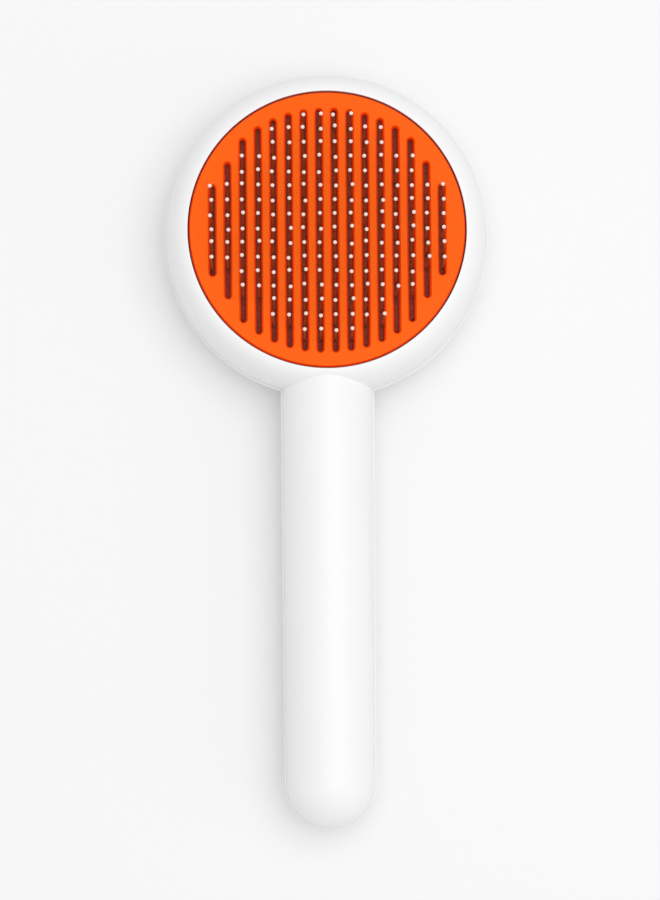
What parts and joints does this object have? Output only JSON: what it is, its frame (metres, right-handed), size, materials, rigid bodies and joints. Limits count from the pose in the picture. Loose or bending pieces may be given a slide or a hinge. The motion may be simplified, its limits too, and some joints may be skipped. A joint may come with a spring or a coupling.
{
  "type": "self-cleaning slicker brush",
  "caption": "Self-cleaning pet deshedding brush: round head of bent ball-tipped pins, slotted ejector plate worked by a sprung button at the back, and a round two-shell handle.",
  "frame": {"origin": "centre of the bounding box in plan, on the face the brush lies on", "axes": "+Y along the handle to the head, +Z the way the pins point, +X across"},
  "size_m": [0.0886, 0.206, 0.038],
  "materials": {
    "white_abs": "moulded white ABS, satin gloss",
    "orange_abs": "moulded orange ABS, satin",
    "grey_nylon": "moulded dark grey nylon, matt",
    "black_rubber": "die-cut black rubber sheet",
    "stainless_steel": "drawn stainless wire",
    "zinc_plated_steel": "zinc plated"
  },
  "bodies": {
    "brush": {"front_shell": "white_abs", "rear_shell": "white_abs", "pin_base": "grey_nylon", "pin_cushion": "black_rubber", "backing_plate": "grey_nylon", "base_screw_1": "zinc_plated_steel", "base_screw_2": "zinc_plated_steel", "base_screw_3": "zinc_plated_steel", "base_screw_4": "zinc_plated_steel", "pin_column_1": "stainless_steel", "pin_column_2": "stainless_steel", "pin_column_3": "stainless_steel", "pin_column_4": "stainless_steel", "pin_column_5": "stainless_steel", "pin_column_6": "stainless_steel", "pin_column_7": "stainless_steel", "pin_column_8": "stainless_steel", "return_spring": "stainless_steel"},
    "ejector": {"ejector_plate": "orange_abs", "pusher_frame": "grey_nylon", "push_button": "white_abs", "button_screw_1": "zinc_plated_steel", "button_screw_2": "zinc_plated_steel", "button_screw_3": "zinc_plated_steel", "button_screw_4": "zinc_plated_steel"}
  },
  "joints": [
    {"name": "eject_slide", "type": "slide", "parent": "brush", "child": "ejector", "axis": [0, 0, 1], "range_m": [0, 0.0084], "stiffness_N_per_m": 900, "springref_m": -0.006, "deforming": ["return_spring"]}
  ]
}
